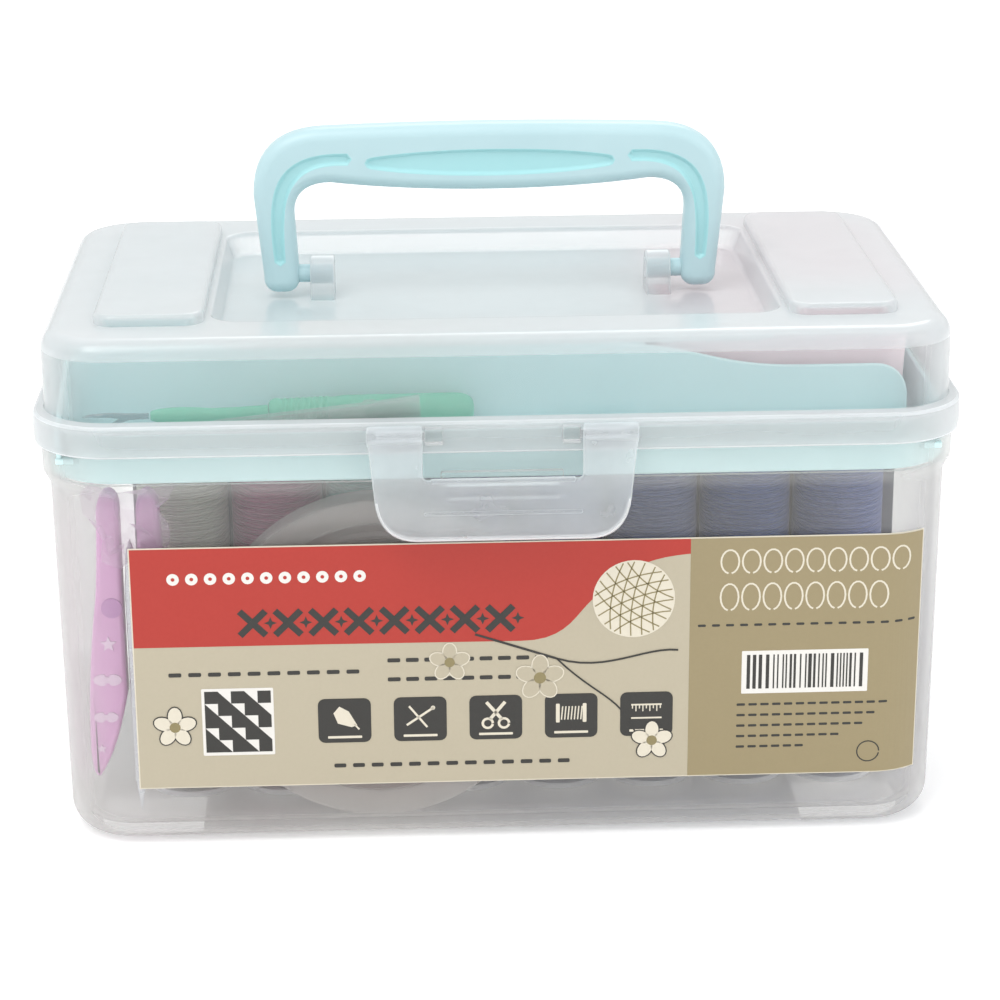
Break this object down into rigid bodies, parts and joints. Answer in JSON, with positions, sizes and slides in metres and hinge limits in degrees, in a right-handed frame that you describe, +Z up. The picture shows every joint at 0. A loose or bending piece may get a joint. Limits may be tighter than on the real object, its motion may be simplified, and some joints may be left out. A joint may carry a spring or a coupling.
{
  "type": "sewing box with trays",
  "caption": "Clear plastic sewing box with a hinged lid, folding carry handle, front latch, lift-out tool tray, small parts tray and a sewing kit inside.",
  "frame": {"origin": "centre of the footprint, on the surface the box stands on", "axes": "+X to the right along the length, +Y to the back where the hinges are, +Z up; the latch faces -Y"},
  "size_m": [0.2152, 0.1412, 0.1609],
  "materials": {
    "clear_tub": "natural translucent polypropylene, moulded glossy",
    "clear_lid": "natural translucent polypropylene, moulded glossy",
    "clear_latch": "natural translucent polypropylene, moulded glossy",
    "aqua_handle": "light aqua polypropylene, satin gloss",
    "aqua_tray": "light aqua polypropylene, satin gloss",
    "pink_tray": "pale pink translucent polypropylene",
    "printed_label": null,
    "white_case": "white polystyrene",
    "clear_ring": "clear polystyrene",
    "orchid_grip": "orchid pink moulded grips",
    "tool_steel": "polished steel",
    "green_grip": "translucent green polystyrene",
    "clear_cap": "clear polystyrene",
    "spool_core": "off-white moulded plastic",
    "thread_1": "wound polyester sewing thread",
    "thread_2": "wound polyester sewing thread",
    "thread_3": "wound polyester sewing thread",
    "thread_4": "wound polyester sewing thread",
    "thread_5": "wound polyester sewing thread",
    "thread_6": "wound polyester sewing thread",
    "thread_7": "wound polyester sewing thread",
    "thread_8": "wound polyester sewing thread"
  },
  "bodies": {
    "base": {"base_tub": "clear_tub", "front_label": "printed_label", "round_case_dish": "white_case", "round_case_ring": "clear_ring", "snips_grip_left": "orchid_grip", "snips_grip_right": "orchid_grip", "snips_blades": "tool_steel", "spool_core_1": "spool_core", "spool_thread_1": "thread_1", "spool_core_2": "spool_core", "spool_thread_2": "thread_2", "spool_core_3": "spool_core", "spool_thread_3": "thread_3", "spool_core_4": "spool_core", "spool_thread_4": "thread_4", "spool_core_5": "spool_core", "spool_thread_5": "thread_5", "spool_core_6": "spool_core", "spool_thread_6": "thread_6", "spool_core_7": "spool_core", "spool_thread_7": "thread_7", "spool_core_8": "spool_core", "spool_thread_8": "thread_8"},
    "lid": {"lid_shell": "clear_lid"},
    "handle": {"carry_handle": "aqua_handle"},
    "latch": {"front_latch": "clear_latch"},
    "tray": {"lift_out_tray": "aqua_tray", "seam_ripper_fork": "tool_steel", "seam_ripper_handle": "green_grip", "seam_ripper_cap": "clear_cap", "seam_ripper_grip": "green_grip"},
    "small_tray": {"small_parts_tray": "pink_tray"}
  },
  "joints": [
    {"name": "lid_hinge", "type": "hinge", "parent": "base", "child": "lid", "pos_m": [0, 0.0678, 0.0954], "axis": [-1, 0, 0], "range_deg": [0, 110]},
    {"name": "handle_fold", "type": "hinge", "parent": "lid", "child": "handle", "pos_m": [0, 0, 0.124], "axis": [1, 0, 0], "range_deg": [-90, 90]},
    {"name": "latch_flip", "type": "hinge", "parent": "lid", "child": "latch", "pos_m": [0, -0.0682, 0.103], "axis": [-1, 0, 0], "range_deg": [0, 100]},
    {"name": "tray_lift", "type": "slide", "parent": "base", "child": "tray", "axis": [0, 0, 1], "range_m": [0, 0.0195]},
    {"name": "small_tray_lift", "type": "slide", "parent": "tray", "child": "small_tray", "axis": [0, 0, 1], "range_m": [0, 0.0235]}
  ],
  "couplings": [
    {"joint": "tray_lift", "follows": "lid_hinge", "m_per_rad": 0.01},
    {"joint": "small_tray_lift", "follows": "lid_hinge", "m_per_rad": 0.012}
  ]
}
